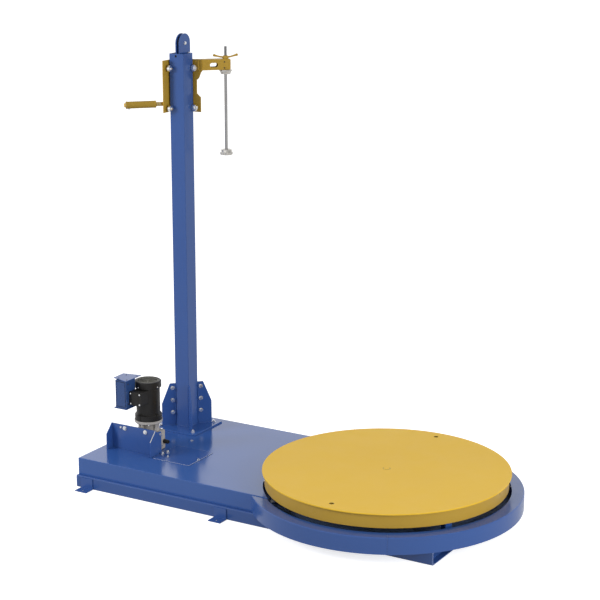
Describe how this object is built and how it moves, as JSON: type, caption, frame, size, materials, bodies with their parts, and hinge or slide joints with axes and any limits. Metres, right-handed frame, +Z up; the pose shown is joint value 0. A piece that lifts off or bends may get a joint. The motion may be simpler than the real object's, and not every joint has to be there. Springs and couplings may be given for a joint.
{
  "type": "turntable pallet wrapper",
  "caption": "Stretch-film pallet wrapper: powered round turntable in a low base with deck and chain drive, and a square mast carrying a hand-moved film carriage on guide rollers.",
  "frame": {"origin": "on the floor, under the middle of the bounding box", "axes": "+X along the base from the gearmotor and mast end to the turntable, +Y to the rear rail beside the mast, +Z up"},
  "size_m": [2.7632, 1.655, 2.774],
  "materials": {
    "blue_paint": "glossy enamel",
    "yellow_paint": "satin enamel",
    "motor_black": "black paint, satin",
    "cast_grey": "light grey paint over casting",
    "grip": "dull moulded",
    "zinc_steel": "zinc plated, turned",
    "bright_steel": "ground bright",
    "nylon": "machined",
    "dark_steel": "oiled black"
  },
  "bodies": {
    "base": {"rail_front": "blue_paint", "rail_rear": "blue_paint", "cross_member_left": "blue_paint", "cross_member_mid": "blue_paint", "center_beam_left": "blue_paint", "center_beam_right": "blue_paint", "cross_member_right": "blue_paint", "foot_front_left": "blue_paint", "foot_front_mid": "blue_paint", "foot_rear_left": "blue_paint", "foot_rear_mid": "blue_paint", "deck_cover": "blue_paint", "chain_cover": "blue_paint", "guard_ring_front": "blue_paint", "guard_ring_right": "blue_paint", "guard_ring_rear": "blue_paint", "ring_pan": "blue_paint", "center_post": "dark_steel", "roller_bracket_1": "blue_paint", "roller_bracket_2": "blue_paint", "roller_bracket_3": "blue_paint", "roller_bracket_4": "blue_paint", "drive_chain": "dark_steel", "gearbox_housing": "cast_grey", "motor_body": "motor_black", "motor_fan_cover": "motor_black", "conduit_box": "motor_black", "control_box": "blue_paint", "control_box_lid": "blue_paint", "motor_bracket": "blue_paint", "mast_base_plate": "blue_paint", "mast_tube": "blue_paint", "mast_wing_left": "blue_paint", "mast_wing_right": "blue_paint", "mast_wing_front": "blue_paint", "pulley_ear_far": "blue_paint", "pulley_ear_near": "blue_paint"},
    "table": {"turntable_plate": "yellow_paint", "turntable_skirt": "yellow_paint", "driven_sprocket": "dark_steel"},
    "drive": {"drive_sprocket": "dark_steel", "gearbox_output_shaft": "bright_steel"},
    "table_roller_1": {"support_roller_1": "nylon"},
    "table_roller_2": {"support_roller_2": "nylon"},
    "table_roller_3": {"support_roller_3": "nylon"},
    "table_roller_4": {"support_roller_4": "nylon"},
    "carriage": {"carriage_bracket": "yellow_paint", "carriage_arm": "yellow_paint", "handle_bar": "yellow_paint", "handle_grip": "grip", "film_rod": "bright_steel"},
    "film_holder": {"film_cone": "zinc_steel", "film_disc": "zinc_steel"},
    "locking_nut": {"wing_nut": "yellow_paint"},
    "guide_upper_left": {"guide_roller_upper_left": "zinc_steel"},
    "guide_upper_right": {"guide_roller_upper_right": "zinc_steel"},
    "guide_lower_left": {"guide_roller_lower_left": "zinc_steel"},
    "guide_lower_right": {"guide_roller_lower_right": "zinc_steel"},
    "sheave": {"lift_sheave": "nylon"},
    "weight": {"counterweight": "dark_steel"}
  },
  "joints": [
    {"name": "turntable_spin", "type": "hinge", "parent": "base", "child": "table", "pos_m": [0.55358, 0, 0.28], "axis": [0, 0, 1], "continuous": true},
    {"name": "drive_spin", "type": "hinge", "parent": "base", "child": "drive", "pos_m": [-1.06242, -0.18, 0.124], "axis": [0, 0, 1], "continuous": true},
    {"name": "table_roller_1_spin", "type": "hinge", "parent": "base", "child": "table_roller_1", "pos_m": [1.12858, 0.36, 0.2483], "axis": [0.8476, 0.5307, 0], "continuous": true},
    {"name": "table_roller_2_spin", "type": "hinge", "parent": "base", "child": "table_roller_2", "pos_m": [-0.02142, 0.36, 0.2483], "axis": [-0.8476, 0.5307, 0], "continuous": true},
    {"name": "table_roller_3_spin", "type": "hinge", "parent": "base", "child": "table_roller_3", "pos_m": [-0.02142, -0.36, 0.2483], "axis": [-0.8476, -0.5307, 0], "continuous": true},
    {"name": "table_roller_4_spin", "type": "hinge", "parent": "base", "child": "table_roller_4", "pos_m": [1.12858, -0.36, 0.2483], "axis": [0.8476, -0.5307, 0], "continuous": true},
    {"name": "carriage_slide", "type": "slide", "parent": "base", "child": "carriage", "axis": [0, 0, 1], "range_m": [-1.64, 0]},
    {"name": "weight_slide", "type": "slide", "parent": "base", "child": "weight", "axis": [0, 0, 1], "range_m": [0, 1.64]},
    {"name": "sheave_spin", "type": "hinge", "parent": "base", "child": "sheave", "pos_m": [-1.11242, 0.3425, 2.714], "axis": [1, 0, 0], "range_deg": [-2300, 0]},
    {"name": "guide_upper_left_spin", "type": "hinge", "parent": "carriage", "child": "guide_upper_left", "pos_m": [-1.14842, 0.2527, 2.558], "axis": [1, 0, 0], "range_deg": [0, 4600]},
    {"name": "guide_upper_right_spin", "type": "hinge", "parent": "carriage", "child": "guide_upper_right", "pos_m": [-1.03812, 0.361, 2.558], "axis": [0, 1, 0], "range_deg": [0, 4600]},
    {"name": "guide_lower_left_spin", "type": "hinge", "parent": "carriage", "child": "guide_lower_left", "pos_m": [-1.14842, 0.2527, 2.306], "axis": [1, 0, 0], "range_deg": [0, 4600]},
    {"name": "guide_lower_right_spin", "type": "hinge", "parent": "carriage", "child": "guide_lower_right", "pos_m": [-1.03812, 0.361, 2.306], "axis": [0, 1, 0], "range_deg": [0, 4600]},
    {"name": "film_spin", "type": "hinge", "parent": "carriage", "child": "film_holder", "pos_m": [-0.90406, 0.52121, 2.25], "axis": [0, 0, 1], "continuous": true},
    {"name": "locking_nut_turn", "type": "hinge", "parent": "carriage", "child": "locking_nut", "pos_m": [-0.90406, 0.52121, 2.62], "axis": [0, 0, 1], "range_deg": [0, 720]}
  ],
  "couplings": [
    {"joint": "drive_spin", "follows": "turntable_spin", "ratio": 5},
    {"joint": "table_roller_1_spin", "follows": "turntable_spin", "ratio": -19.953},
    {"joint": "table_roller_2_spin", "follows": "turntable_spin", "ratio": -19.953},
    {"joint": "table_roller_3_spin", "follows": "turntable_spin", "ratio": -19.953},
    {"joint": "table_roller_4_spin", "follows": "turntable_spin", "ratio": -19.953},
    {"joint": "weight_slide", "follows": "carriage_slide", "ratio": -1},
    {"joint": "sheave_spin", "follows": "carriage_slide", "rad_per_m": 24.39},
    {"joint": "guide_upper_left_spin", "follows": "carriage_slide", "rad_per_m": -48.78},
    {"joint": "guide_upper_right_spin", "follows": "carriage_slide", "rad_per_m": -48.78},
    {"joint": "guide_lower_left_spin", "follows": "carriage_slide", "rad_per_m": -48.78},
    {"joint": "guide_lower_right_spin", "follows": "carriage_slide", "rad_per_m": -48.78}
  ]
}
